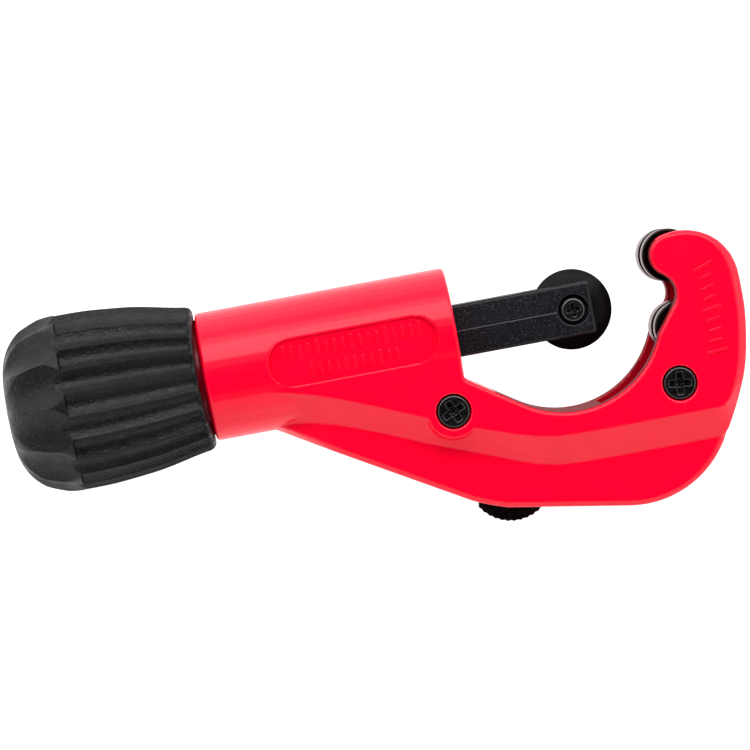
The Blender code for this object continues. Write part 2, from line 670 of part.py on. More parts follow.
def make_wheel():
    half_hub = 2.35 * MM
    bore = 2.4 * MM + CLEARANCE
    profile = [
        (half_hub, bore),
        (half_hub, 4.6 * MM),
        (1.75 * MM, 5.0 * MM),
        (1.45 * MM, 7.4 * MM),
        (0.05 * MM, WHEEL_RADIUS),
        (-0.05 * MM, WHEEL_RADIUS),
        (-1.45 * MM, 7.4 * MM),
        (-1.75 * MM, 5.0 * MM),
        (-half_hub, 4.6 * MM),
        (-half_hub, bore),
    ]
    add_part("cutter_wheel", turned_mesh(profile, 36, "Z"), (WHEEL_X, 0, 0), "black_steel")
    screw_profile = [
        (6.1 * MM, 0),
        (6.1 * MM, 2.7 * MM),
        (5.8 * MM, 3.0 * MM),
        (4.3 * MM, 3.0 * MM),
        (4.3 * MM, 2.4 * MM),
        (-2.6 * MM, 2.4 * MM),
        (-2.6 * MM, 1.7 * MM),
        (-6.2 * MM, 1.7 * MM),
        (-6.2 * MM, 0),
    ]
    screw = add_part("wheel_screw", turned_mesh(screw_profile, 28, "Z"), (WHEEL_X, 0, 0), "black_steel")
    cross_recess(screw, 3.0 * MM, 6.1 * MM, (WHEEL_X, 0))


# ---------------------------------------------------------------- rollers


def make_rollers():
    bore = PIN_RADIUS + 0.4 * MM
    outer = [
        (ROLLER_HALF, ROLLER_RADIUS - 0.4 * MM),
        (ROLLER_HALF - 0.4 * MM, ROLLER_RADIUS),
        (1.1 * MM, ROLLER_RADIUS),
        (0.6 * MM, ROLLER_RADIUS - 0.9 * MM),
    ]
    far = [(-z, r) for z, r in reversed(outer)]
    profile = [(ROLLER_HALF, bore)] + outer + far + [(-ROLLER_HALF, bore)]
    for name, side in (("upper", 1), ("lower", -1)):
        place = (ROLLER_X, side * ROLLER_Y, 0)
        add_part(f"roller_{name}", turned_mesh(profile, 28, "Z"), place, "plain_steel")
        pin = rod_mesh(-13.9 * MM, 12.1 * MM, PIN_RADIUS, 24, "Z", 0.4 * MM)
        add_part(f"roller_pin_{name}", pin, place, "plain_steel")


# ---------------------------------------------------------------- reamer and through screws


def through_screw(name, centre):
    """An M4 cross-head screw whose head is flush with the near cheek and whose nut is in the far one."""
    head_height = 2.6 * MM
    profile = [
        (M4_HEAD_TOP, 0),
        (M4_HEAD_TOP, M4_HEAD_RADIUS - 0.5 * MM),
        (M4_HEAD_TOP - 0.4 * MM, M4_HEAD_RADIUS),
        (M4_HEAD_TOP - head_height, M4_HEAD_RADIUS),
        (M4_HEAD_TOP - head_height, M4_RADIUS),
        (-13.6 * MM, M4_RADIUS),
        (-14.0 * MM, M4_RADIUS - 0.4 * MM),
        (-14.0 * MM, 0),
    ]
    screw = add_part(f"{name}_screw", turned_mesh(profile, 28, "Z"), (*centre, 0), "black_steel")
    cross_recess(screw, M4_HEAD_RADIUS, M4_HEAD_TOP, centre)
    nut_mesh = plate_mesh(hexagon((0, 0), 7.0 * MM, 7), -13.9 * MM, -11.2 * MM)
    nut = add_part(f"{name}_nut", nut_mesh, (*centre, 0), "black_steel")
    hole = rod_mesh(-15 * MM, -10 * MM, M4_RADIUS + CLEARANCE, 24, "Z")
    combine(nut, add_cutter(f"{name}_nut_hole", hole, (*centre, 0)))


def blade_outline():
    """The stowed blade round its pivot: eye, long upper edge, pointed tip, and the serrated thumb tab."""
    tab = TAB_CENTRE - REAMER_PIVOT
    tip = REAMER_TIP - REAMER_PIVOT
    eye = arc((0, 0), EYE_RADIUS, 190, 20, 9)
    waist = (15.0 * MM, -7.9 * MM)
    point = [waist, (tip.x, tip.y + 0.5 * MM), (tip.x, tip.y - 0.5 * MM)]
    teeth = 28
    serrated = []
    for i in range(teeth + 1):
        angle = math.radians(-25 - 122.5 * i / teeth)
        radius = TAB_RADIUS - (0.25 * MM if i % 2 else 0)
        serrated.append((tab.x + radius * math.cos(angle), tab.y + radius * math.sin(angle)))
    # The tab's near edge to the knob is flat, and runs up into the slot.
    corner = serrated[-1]
    shoulder = (corner[0] + 1.65 * MM, corner[1] + 8.85 * MM)
    return eye + point + serrated + [shoulder]


def make_reamer():
    blade_mesh = plate_mesh(blade_outline(), -1.4 * MM, 0.8 * MM)
    blade = add_part("reamer", blade_mesh, (*REAMER_PIVOT, 0), "black_steel")
    sleeve_radius = 3.2 * MM
    eye_hole = rod_mesh(-3 * MM, 3 * MM, sleeve_radius + CLEARANCE, 28, "Z")
    combine(blade, add_cutter("reamer_eye", eye_hole, (*REAMER_PIVOT, 0)))
    sleeve = ring_mesh(-1.4 * MM, 1.4 * MM, M4_RADIUS + CLEARANCE, sleeve_radius, 28, "Z")
    add_part("reamer_sleeve", sleeve, (*REAMER_PIVOT, 0), "plain_steel")
    washer = ring_mesh(1.05 * MM, 1.4 * MM, sleeve_radius + CLEARANCE, 5.0 * MM, 28, "Z")
    add_part("reamer_wave_washer", washer, (*REAMER_PIVOT, 0), "plain_steel")
    through_screw("reamer", REAMER_PIVOT)


def make_jaw_screw():
    through_screw("jaw", JAW_SCREW)
    spacer = ring_mesh(-ROLLER_HALF, ROLLER_HALF, M4_RADIUS + CLEARANCE, 3.5 * MM, 28, "Z")
    add_part("jaw_spacer", spacer, (*JAW_SCREW, 0), "plain_steel")


# ---------------------------------------------------------------- assembly

clear_scene()
parts = new_collection("pipe_cutter")
cutters = new_collection("cutters")
materials = make_materials()

# The world origin is on the surface that the knob rests on, under the middle of the tool's outer box.
left, right = KNOB_END_X, max(x for x, y in back_side())
bottom, top = HEEL_CENTRE.y - HEEL_RADIUS, KNOB_RADIUS
tool_axes = bpy.data.objects.new("tool_axes", None)
tool_axes.location = (-(left + right) / 2, -(bottom + top) / 2, KNOB_RADIUS)
parts.objects.link(tool_axes)

make_frame()
make_feed()
make_knob()
make_slide()
make_wheel()
make_rollers()
make_reamer()
make_jaw_screw()
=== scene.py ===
"""The finished look of the telescoping-slide pipe cutter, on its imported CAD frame.

Pieces are modelled in millimetres in tool axes. X runs along the feed axis towards the jaw and is
0 close to the tube's front face, Y points from the frame's back edge to the jaw's opening, and Z
points out of the near cheek. `add_piece` turns them into metres and puts them in the frame's
place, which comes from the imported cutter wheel.
"""

import math

import bmesh
import bpy
from mathutils import Matrix, Vector


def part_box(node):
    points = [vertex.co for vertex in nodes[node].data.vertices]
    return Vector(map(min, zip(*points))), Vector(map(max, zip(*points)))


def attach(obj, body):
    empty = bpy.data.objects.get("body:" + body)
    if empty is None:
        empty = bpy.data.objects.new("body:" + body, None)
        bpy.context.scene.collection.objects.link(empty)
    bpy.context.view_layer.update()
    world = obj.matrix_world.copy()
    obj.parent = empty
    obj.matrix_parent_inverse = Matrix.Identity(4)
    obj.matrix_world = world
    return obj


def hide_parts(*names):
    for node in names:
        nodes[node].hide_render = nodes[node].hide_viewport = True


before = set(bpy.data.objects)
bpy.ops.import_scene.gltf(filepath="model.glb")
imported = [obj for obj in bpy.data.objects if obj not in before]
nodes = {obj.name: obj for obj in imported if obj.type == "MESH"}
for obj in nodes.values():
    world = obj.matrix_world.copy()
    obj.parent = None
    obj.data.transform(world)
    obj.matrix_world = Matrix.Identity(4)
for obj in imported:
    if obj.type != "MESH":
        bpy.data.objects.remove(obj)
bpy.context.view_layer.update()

MM = 0.001


def box_in_mm(node):
    """A node's lowest and highest corners in the frame's place, in millimetres."""
    return [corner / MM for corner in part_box(node)]


# The wheel's centre is on the feed axis, at this X.
WHEEL_X = 27.5
ORIGIN = sum(box_in_mm("cutter_wheel"), Vector()) / 2 - Vector((WHEEL_X, 0, 0))

# Behind this X, the casting is the narrow neck.
NECK_FRONT_X = -61.95
# The throat's round wall is about this line along Z. The rollers' slot is cut further out, up to
# this far from the line and from the middle; its painted shade starts between the two Xs.
THROAT_CENTRE = (24.3, -0.2)
THROAT_WALL_RADIUS = 24.2
ROLLER_SLOT_RADIUS = 28.0
ROLLER_SLOT_HALF = 10.0
ROLLER_SLOT_START_X = (12.0, 20.0)
# The slide's sides are flat from this X on, round the wheel screw, and slope a little behind it.
FORK_END_PAD_X = 23.6


def tool_box(node):
    """A node's lowest and highest corners in tool axes, in millimetres."""
    return [corner - ORIGIN for corner in box_in_mm(node)]


# ---------------------------------------------------------------- camera, lights and floor

CAMERA_FOOT = Vector((-40.9, 29.5, 0))
CAMERA_HEIGHT = 950.0
SENSOR_WIDTH = 36.0
VIEW_CENTRE = Vector((-21.8, -6.9, 0))
VIEW_WIDTH = 180.0
VIEW_ROLL = math.radians(10.55)

LIGHT_DISTANCE = 1100.0
# Azimuth and elevation in degrees, width and height in millimetres, and watts. Azimuth is
# anticlockwise from the right of the camera's view.
SOFT_BOXES = {
    "light_above": (95, 44, 2400, 760, 26.5),
    "light_back": (95, 12, 2400, 500, 2.4),
    "light_below": (265, 24, 2800, 900, 12.0),
    "light_left": (180, 28, 1400, 900, 2.2),
    "light_right": (0, 28, 1400, 900, 4.5),
}
# The background's strength is the first up to the first height of a direction, whose full length
# is 1, and the second from the second height on.
HAZE_HEIGHTS = (0.05, 0.36)
HAZE_STRENGTHS = (0.55, 0.015)

FLOOR_REACH = 3000.0
FLOOR_GAP = 0.05


def in_frame(point):
    """A place in tool axes, in the frame's place and in metres."""
    return (ORIGIN + Vector(point)) * MM


def aim(obj, eye, target, right):
    """Points an object's -Z at the target, with its X as near to `right` as it can be."""
    back = (eye - target).normalized()
    up = back.cross(right).normalized()
    across = up.cross(back)
    turn = Matrix((across, up, back)).transposed().to_4x4()
    obj.matrix_world = Matrix.Translation(in_frame(eye)) @ turn


def add_camera():
    data = bpy.data.cameras.new("camera")
    data.sensor_width = SENSOR_WIDTH
    data.lens = data.sensor_width * CAMERA_HEIGHT / VIEW_WIDTH
    data.clip_start = 10 * MM
    camera = new_object("camera", data)
    right = Vector((math.cos(VIEW_ROLL), -math.sin(VIEW_ROLL), 0))
    aim(camera, CAMERA_FOOT + Vector((0, 0, CAMERA_HEIGHT)), VIEW_CENTRE, right)
    bpy.context.scene.camera = camera


def add_softbox(name, azimuth, elevation, width, height, watts):
    data = bpy.data.lights.new(name, "AREA")
    data.shape = "RECTANGLE"
    data.size = width * MM
    data.size_y = height * MM
    data.energy = watts
    turn = math.radians(azimuth) - VIEW_ROLL
    rise = math.radians(elevation)
    level = Vector((math.cos(turn), math.sin(turn), 0))
    away = level * math.cos(rise) + Vector((0, 0, math.sin(rise)))
    across = Vector((-math.sin(turn), math.cos(turn), 0))
    aim(new_object(name, data), VIEW_CENTRE + away * LIGHT_DISTANCE, VIEW_CENTRE, across)


def add_world():
    """A dim, plain studio that is paler towards the floor."""
    world = bpy.data.worlds.new("studio")
    world.use_nodes = True
    tree = world.node_tree
    direction = tree.nodes.new("ShaderNodeSeparateXYZ")
    place = tree.nodes.new("ShaderNodeTexCoord").outputs["Generated"]
    tree.links.new(place, direction.inputs["Vector"])
    strength = eased_range(tree, direction.outputs["Z"], *HAZE_HEIGHTS, *HAZE_STRENGTHS)
    background = tree.nodes["Background"]
    background.inputs["Color"].default_value = (1, 1, 1, 1)
    tree.links.new(strength, background.inputs["Strength"])
    bpy.context.scene.world = world


def add_floor():
    """A level, pale floor that the knob rests on."""
    height = tool_box("knob")[0].z - FLOOR_GAP
    corners = [(-1, -1), (1, -1), (1, 1), (-1, 1)]
    vertices = [in_frame((x * FLOOR_REACH, y * FLOOR_REACH, height)) for x, y in corners]
    mesh = bpy.data.meshes.new("floor")
    mesh.from_pydata(vertices, [], [(0, 1, 2, 3)])
    mesh.materials.append(floor_material())
    new_object("floor", mesh)


# ---------------------------------------------------------------- materials

# Noise is mostly between these two.
NOISE_RANGE = (0.3, 0.7)
# The red of the painted shade on the frame's neck and on the throat's and the slot's walls.
PAINTED_SHADE_RED = (0.16, 0.0, 0.005)


def eased_range(tree, source, low, high, start, end):
    """`source` from low to high, turned into start to end. Low may be the higher of the two."""
    node = tree.nodes.new("ShaderNodeMapRange")
    node.interpolation_type = "SMOOTHSTEP"
    values = {"From Min": low, "From Max": high, "To Min": start, "To Max": end}
    for name, value in values.items():
        node.inputs[name].default_value = value
    tree.links.new(source, node.inputs["Value"])
    return node.outputs["Result"]


class Surface:
    """A procedural material in object coordinates; its lengths are in millimetres."""

    def __init__(self, name, metallic=0.0):
        self.material = bpy.data.materials.new(name)
        self.material.use_nodes = True
        self.tree = self.material.node_tree
        self.shader = self.tree.nodes["Principled BSDF"]
        self.set("Metallic", metallic)
        self.coordinates = self.tree.nodes.new("ShaderNodeTexCoord").outputs["Object"]

    def set(self, name, value):
        self.shader.inputs[name].default_value = value

    def join(self, name, source):
        self.tree.links.new(source, self.shader.inputs[name])

    def part(self, axis, vector):
        """One of a vector's three numbers."""
        node = self.tree.nodes.new("ShaderNodeSeparateXYZ")
        self.tree.links.new(vector, node.inputs["Vector"])
        return node.outputs[axis]

    def calculated(self, operation, *values):
        node = self.tree.nodes.new("ShaderNodeMath")
        node.operation = operation
        for value, socket in zip(values, node.inputs):
            self.tree.links.new(value, socket)
        return node.outputs["Value"]

    def product(self, first, *others):
        for other in others:
            first = self.calculated("MULTIPLY", first, other)
        return first

    def ramp(self, source, low, high, start=0.0, end=1.0):
        return eased_range(self.tree, source, low, high, start, end)

    def facing(self, low, high):
        """A ramp on the size of the normal's Z, which is 1 on a face like either cheek's."""
        normal = self.tree.nodes.new("ShaderNodeNewGeometry").outputs["Normal"]
        return self.ramp(self.calculated("ABSOLUTE", self.part("Z", normal)), low, high)

    def fillets(self):
        """1 on the small rounds between a face like the cheeks' and its side walls."""
        return self.product(self.facing(0.66, 0.78), self.facing(0.985, 0.945))

    def beyond(self, axis, low, high):
        """0 at the tool coordinate `low` and 1 at `high`, which may be the lower of the two."""
        start = getattr(ORIGIN, axis.lower())
        place = self.part(axis, self.coordinates)
        return self.ramp(place, (start + low) * MM, (start + high) * MM)

    def between(self, axis, low, high, fade):
        """1 between two tool coordinates, and 0 from `fade` outside them."""
        inner = self.beyond(axis, low - fade, low)
        return self.product(inner, self.beyond(axis, high + fade, high))

    def near_line(self, centre, radius, fade):
        """1 within `radius` of a line along Z, and 0 from `fade` beyond it."""
        flat = self.tree.nodes.new("ShaderNodeCombineXYZ")
        for axis in ("X", "Y"):
            self.tree.links.new(self.part(axis, self.coordinates), flat.inputs[axis])
        node = self.tree.nodes.new("ShaderNodeVectorMath")
        node.operation = "DISTANCE"
        self.tree.links.new(flat.outputs["Vector"], node.inputs[0])
        x, y, _ = in_frame((*centre, 0))
        node.inputs[1].default_value = (x, y, 0)
        return self.ramp(node.outputs["Value"], (radius + fade) * MM, radius * MM)

    def stretched(self, scale):
        """The coordinates scaled unevenly, to draw grain out along an axis."""
        node = self.tree.nodes.new("ShaderNodeMapping")
        node.inputs["Scale"].default_value = scale
        self.tree.links.new(self.coordinates, node.inputs["Vector"])
        return node.outputs["Vector"]

    def noise(self, size, detail=2.0, coordinates=None):
        """Noise from 0 to 1 whose lumps are about `size` wide."""
        node = self.tree.nodes.new("ShaderNodeTexNoise")
        node.inputs["Scale"].default_value = 1 / (size * MM)
        node.inputs["Detail"].default_value = detail
        self.tree.links.new(coordinates or self.coordinates, node.inputs["Vector"])
        return node.outputs["Fac"]

    def mix(self, share, first, second):
        """One colour or the other; each is a colour or a socket."""
        node = self.tree.nodes.new("ShaderNodeMix")
        node.data_type = "RGBA"
        self.tree.links.new(share, node.inputs["Factor"])
        # The colour sockets share their names with the node's hidden ones, so they go by number.
        for socket, colour in ((node.inputs[6], first), (node.inputs[7], second)):
            if isinstance(colour, tuple):
                socket.default_value = (*colour, 1)
            else:
                self.tree.links.new(colour, socket)
        return node.outputs[2]

    def colour(self, share, first, second):
        """Gives the surface a mix of two colours."""
        self.join("Base Color", self.mix(share, first, second))

    def roughness(self, noise, low, high):
        """Gives the surface a roughness from low to high, by the noise."""
        self.join("Roughness", self.ramp(noise, *NOISE_RANGE, low, high))

    def relief(self, *layers):
        """Bumps the surface by (height from 0 to 1, depth) layers, each over the one before."""
        under = None
        for height, depth in layers:
            node = self.tree.nodes.new("ShaderNodeBump")
            node.inputs["Distance"].default_value = depth * MM
            self.tree.links.new(height, node.inputs["Height"])
            if under:
                self.tree.links.new(under, node.inputs["Normal"])
            under = node.outputs["Normal"]
        self.join("Normal", under)


def floor_material():
    surface = Surface("floor_paper")
    tone = surface.ramp(surface.noise(60.0), *NOISE_RANGE)
    surface.colour(tone, (0.40, 0.40, 0.40), (0.42, 0.42, 0.42))
    surface.set("Roughness", 0.9)
    surface.set("Specular IOR Level", 0.0)
    surface.set("Emission Color", (1, 1, 1, 1))
    surface.set("Emission Strength", 0.92)
    return surface.material


def red_paint():
    """Gloss enamel with fine orange peel, with painted shade on the neck and in the rollers' slot,
    and on the throat's and the slot's walls, which are also rougher and less glossy."""
    surface = Surface("red_enamel")
    tone = surface.ramp(surface.noise(9.0, 3.0), *NOISE_RANGE)
    paint = surface.mix(tone, (0.91, 0.0, 0.024), (0.95, 0.0, 0.026))
    # Painted shade: the neck behind the knob's rim is dark red.
    paint = surface.mix(surface.beyond("X", NECK_FRONT_X, NECK_FRONT_X - 0.2), paint, PAINTED_SHADE_RED)
    throat = surface.near_line(THROAT_CENTRE, THROAT_WALL_RADIUS, 0.6)
    slot = surface.near_line(THROAT_CENTRE, ROLLER_SLOT_RADIUS, 0.5)
    slot = surface.product(slot, surface.beyond("X", *ROLLER_SLOT_START_X))
    # Painted shade: the cheeks' inner faces in the rollers' slot are dark red.
    inside = surface.between("Z", -ROLLER_SLOT_HALF, ROLLER_SLOT_HALF, 0.5)
    inside = surface.product(inside, surface.facing(0.7, 0.9), slot)
    paint = surface.mix(inside, paint, (0.36, 0.0, 0.01))
    # Painted shade on the throat's and the slot's walls; the walls also reflect less and are
    # rougher.
    upright = surface.facing(0.6, 0.3)
    wall = surface.product(upright, surface.calculated("MAXIMUM", throat, slot))
    surface.colour(wall, paint, PAINTED_SHADE_RED)
    surface.join("Specular IOR Level", surface.ramp(wall, 0.0, 1.0, 0.25, 0.03))
    surface.join("Roughness", surface.ramp(wall, 0.0, 1.0, 0.25, 0.5))
    surface.relief((surface.noise(0.9, 0.0), 0.010))
    return surface.material


def moulded_plastic():
    """Spark-textured black plastic with pale dust in the grain."""
    surface = Surface("black_moulding")
    grain = surface.noise(0.55, 3.0)
    surface.colour(surface.ramp(grain, 0.58, 0.72), (0.003, 0.003, 0.0034), (0.026, 0.027, 0.031))
    surface.set("Specular IOR Level", 0.24)
    surface.roughness(surface.noise(3.0), 0.36, 0.50)
    surface.relief((surface.noise(2.2, 1.0), 0.12), (grain, 0.20))
    return surface.material


def black_casting():
    """Phosphated casting: near black, with a rough skin and pale flecks, and painted highlights
    on its rounded edges and along its parting line.
    """
    surface = Surface("black_phosphate")
    grain = surface.noise(0.34, 3.0)
    tone = surface.mix(surface.noise(6.0), (0.002, 0.002, 0.0025), (0.009, 0.009, 0.012))
    speckled = surface.mix(surface.ramp(grain, 0.52, 0.70), tone, (0.036, 0.036, 0.045))
    # Painted highlight: the rounded edges are paler.
    speckled = surface.mix(surface.fillets(), speckled, (0.032, 0.032, 0.036))
    # Painted highlight: a paler line along the parting line on the side faces, up to the flat pad.
    seam_highlight = surface.between("Y", -0.08, 0.08, 0.08)
    seam_highlight = surface.product(seam_highlight, surface.beyond("X", FORK_END_PAD_X, FORK_END_PAD_X - 0.3))
    surface.colour(surface.product(seam_highlight, surface.facing(0.7, 0.9)), speckled, (0.085, 0.085, 0.093))
    surface.set("Specular IOR Level", 0.11)
    surface.roughness(grain, 0.36, 0.56)
    surface.relief((surface.noise(0.9), 0.04), (grain, 0.06))
    return surface.material


def black_oxide():
    """Oiled black oxide on steel screws, nuts and the reamer, with painted highlights on its
    rounds.
    """
    surface = Surface("black_oxide", 0.2)
    tone = surface.ramp(surface.noise(1.2, 3.0), 0.35, 0.7)
    oxide = surface.mix(tone, (0.003, 0.003, 0.004), (0.010, 0.009, 0.010))
    # Painted highlight: the rounded edges, such as the heads' rims, are paler.
    surface.colour(surface.fillets(), oxide, (0.065, 0.065, 0.062))
    surface.set("Specular IOR Level", 0.25)
    surface.roughness(surface.noise(0.5), 0.18, 0.30)
    surface.relief((surface.noise(0.25), 0.008))
    return surface.material


def blued_wheel():
    """The hardened wheel: satin black, with fine marks from the grinder."""
    surface = Surface("blued_wheel")
    tone = surface.ramp(surface.noise(3.5), *NOISE_RANGE)
    surface.colour(tone, (0.003, 0.0025, 0.003), (0.007, 0.006, 0.007))
    surface.set("Specular IOR Level", 0.06)
    surface.roughness(surface.noise(1.5), 0.28, 0.42)
    surface.relief((surface.noise(0.35), 0.010))
    return surface.material


def turned_steel():
    """Ground roller steel with a warm tint and lathe marks round it, near black on faces turned
    along Z: on its ends, and as painted shade on the groove's walls.
    """
    surface = Surface("turned_steel", 1.0)
    lines = surface.noise(1.6, 2.0, surface.stretched((0.25, 0.25, 6.0)))
    ground = surface.mix(lines, (0.085, 0.060, 0.060), (0.145, 0.105, 0.105))
    # Near black on faces turned along Z: the ends, and the groove's walls, where it is painted
    # shade.
    surface.colour(surface.facing(0.6, 0.8), ground, (0.010, 0.008, 0.008))
    surface.roughness(lines, 0.26, 0.40)
    surface.relief((lines, 0.006))
    return surface.material


def plated_steel():
    """Zinc-plated steel on washers, pins and the feed screw."""
    surface = Surface("plated_steel", 1.0)
    surface.colour(surface.noise(1.4, 4.0), (0.42, 0.42, 0.43), (0.60, 0.61, 0.63))
    surface.roughness(surface.noise(0.5), 0.24, 0.40)
    surface.relief((surface.noise(0.3), 0.006))
    return surface.material


def bearing_brass():
    surface = Surface("bearing_brass", 1.0)
    surface.colour(surface.noise(2.0, 3.0), (0.60, 0.39, 0.14), (0.78, 0.55, 0.24))
    surface.roughness(surface.noise(0.6), 0.26, 0.42)
    surface.relief((surface.noise(0.35), 0.006))
    return surface.material


# ---------------------------------------------------------------- mesh helpers

WELD = 1e-4
CAD_WELD = 2e-3


def new_object(name, data):
    obj = bpy.data.objects.new(name, data)
    bpy.context.scene.collection.objects.link(obj)
    return obj


def welded(mesh, reach=WELD, outward=True):
    """The mesh with its points within `reach` merged and, unless told not to, its faces turned
    outward."""
    work = bmesh.new()
    work.from_mesh(mesh)
    bmesh.ops.remove_doubles(work, verts=work.verts, dist=reach)
    if outward:
        bmesh.ops.recalc_face_normals(work, faces=work.faces)
    work.to_mesh(mesh)
    work.free()
    return mesh


def solid(name, vertices, faces):
    mesh = bpy.data.meshes.new(name)
    mesh.from_pydata(vertices, [], faces)
    return new_object(name, welded(mesh))


def shaded(obj, crease=None):
    """Smooth shading, apart from edges that turn by more than `crease` degrees."""
    obj.data.shade_smooth()
    if crease:
        obj.data.set_sharp_from_angle(angle=math.radians(crease))
    return obj


def apply_modifiers(obj):
    graph = bpy.context.evaluated_depsgraph_get()
    mesh = bpy.data.meshes.new_from_object(obj.evaluated_get(graph), depsgraph=graph)
    obj.modifiers.clear()
    obj.data = mesh


def turned(name, profile, steps, axis="X", centre=(0, 0, 0), shape=None, crease=35):
    """A solid turned from (distance, radius) points. A profile off the axis is a closed ring.

    `shape(distance, angle, radius)` may give each point a radius of its own. Angles start at Y, or
    at X on a piece turned about Z.
    """
    vertices = []
    rows = []
    for distance, radius in profile:
        count = steps if radius > 0 else 1
        rows.append(range(len(vertices), len(vertices) + count))
        for i in range(count):
            angle = math.tau * i / steps
            reach = shape(distance, angle, radius) if shape and radius > 0 else radius
            along, across = reach * math.cos(angle), reach * math.sin(angle)
            place = (distance, along, across) if axis == "X" else (along, across, distance)
            vertices.append(Vector(place) + Vector(centre))
    if profile[0][1] > 0:
        rows.append(rows[0])
    faces = []
    for first, second in zip(rows, rows[1:]):
        for i in range(steps):
            j = (i + 1) % steps
            corners = [first[i % len(first)], first[j % len(first)]]
            corners += [second[j % len(second)], second[i % len(second)]]
            faces.append(list(dict.fromkeys(corners)))
    return shaded(solid(name, vertices, faces), crease)


def eased(points, size):
    """The closed profile with a small round, `size` back along each side, for each corner that
    turns by 30 degrees or more."""
    points = [Vector(point) for point in points]
    result = []
    for i, corner in enumerate(points):
        before, after = points[i - 1], points[(i + 1) % len(points)]
        if (before - corner).angle(after - corner) > math.radians(150):
            result.append(corner)
            continue
        start, end = (
            corner + (other - corner).normalized() * min(size, (other - corner).length * 0.4)
            for other in (before, after)
        )
        result += [start, (start + 2 * corner + end) / 4, end]
    return [tuple(point) for point in result]


def spline_through(points, steps):
    """A Catmull-Rom curve through the points."""
    ends = [points[0], *points, points[-1]]
    curve = []
    for before, start, end, after in zip(ends, ends[1:], ends[2:], ends[3:]):
        before, start, end, after = map(Vector, (before, start, end, after))
        for i in range(steps):
            t = i / steps
            point = 2 * start + (end - before) * t
            point += (2 * before - 5 * start + 4 * end - after) * t**2
            point += (3 * start - before - 3 * end + after) * t**3
            curve.append(tuple(point / 2))
    return curve + [tuple(points[-1])]


def slab(name, outline, low, high, edge=0.0):
    """A flat outline extruded between two heights, with its edges rounded inside the outline."""
    curve = bpy.data.curves.new(name, "CURVE")
    curve.dimensions = "2D"
    curve.fill_mode = "BOTH"
    curve.extrude = (high - low) / 2 - edge
    curve.bevel_depth = edge
    curve.bevel_resolution = 2
    curve.offset = -edge
    spline = curve.splines.new("POLY")
    spline.points.add(len(outline) - 1)
    for point, (x, y) in zip(spline.points, outline):
        point.co = (x, y, 0, 1)
    spline.use_cyclic_u = True
    guide = new_object(name, curve)
    graph = bpy.context.evaluated_depsgraph_get()
    mesh = bpy.data.meshes.new_from_object(guide.evaluated_get(graph))
    bpy.data.objects.remove(guide)
    mesh.transform(Matrix.Translation((0, 0, (low + high) / 2)))
    return new_object(name, welded(mesh))


def joined(name, objects):
    """One object from several; their own objects go."""
    work = bmesh.new()
    for obj in objects:
        work.from_mesh(obj.data)
    mesh = bpy.data.meshes.new(name)
    work.to_mesh(mesh)
    work.free()
    for obj in objects:
        bpy.data.objects.remove(obj)
    return new_object(name, mesh)


def cut(obj, cutter):
    """Cuts one object out of another and discards the cutter."""
    modifier = obj.modifiers.new("cut", "BOOLEAN")
    modifier.object = cutter
    modifier.operation = "DIFFERENCE"
    modifier.solver = "EXACT"
    apply_modifiers(obj)
    bpy.data.objects.remove(cutter)


def worn(obj, voxel, rounds, keep=1.0, crease=None):
    """Remeshes a solid finely and eases its edges, as casting, blasting and paint do."""
    remesh = obj.modifiers.new("remesh", "REMESH")
    remesh.mode = "VOXEL"
    remesh.voxel_size = voxel
    ease = obj.modifiers.new("ease", "SMOOTH")
    ease.factor = 0.5
    ease.iterations = rounds
    if keep < 1:
        thin = obj.modifiers.new("thin", "DECIMATE")
        thin.ratio = keep
    apply_modifiers(obj)
    return shaded(obj, crease)


def cad_copy(node, name):
    """A copy of a CAD node's mesh, in tool millimetres."""
    mesh = nodes[node].data.copy()
    mesh.transform(Matrix.Translation(-ORIGIN) @ Matrix.Scale(1 / MM, 4))
    mesh.materials.clear()
    return new_object(name, welded(mesh, CAD_WELD, outward=False))


def add_piece(obj, material, slot, body, *replaced):
    """Puts a finished piece in the frame's place, in metres, on its body."""
    obj.data.transform(Matrix.Scale(MM, 4) @ Matrix.Translation(ORIGIN))
    obj.data.materials.clear()
    obj.data.materials.append(material)
    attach(obj, body)
    if replaced:
        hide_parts(*replaced)


# ---------------------------------------------------------------- frame casting

CHEEK_Z = 14.3
POCKET_FLOOR = 13.8
POCKET_X = -26.1
POCKET_LENGTH = 41.0
POCKET_WIDTH = 11.2

# The plain bars that stand where the real casting has lettering. Every fourth one is longer.
TICK_WIDTH = 0.75
TICK_EDGE = 0.16
TICK_ROOT = 0.2
POCKET_TICK_RISE = 0.48
POCKET_TICK_PITCH = 2.05
POCKET_TICK_EXTRA = 0.9
# Each row's number of bars, the Y of its middle, and the length of its bars.
POCKET_ROWS = ((17, 2.5, 3.0), (11, -2.4, 2.8))
JAW_TICKS = 9
JAW_TICK_RISE = 0.3
JAW_TICK_PITCH = 2.55
JAW_TICK_LENGTH = 3.2
JAW_TICK_EXTRA = 1.8


def frame_casting():
    """The painted casting: the CAD shape with cast radii on its edges and pockets in its sides."""
    casting = worn(cad_copy("frame", "frame_casting"), 0.32, 4, keep=0.4)
    for low, high in ((POCKET_FLOOR, CHEEK_Z + 1), (-CHEEK_Z - 1, -POCKET_FLOOR)):
        outline = rounded_bar((POCKET_X, 0), POCKET_LENGTH, POCKET_WIDTH)
        cut(casting, slab("pocket", outline, low, high))
    return shaded(casting, 50)


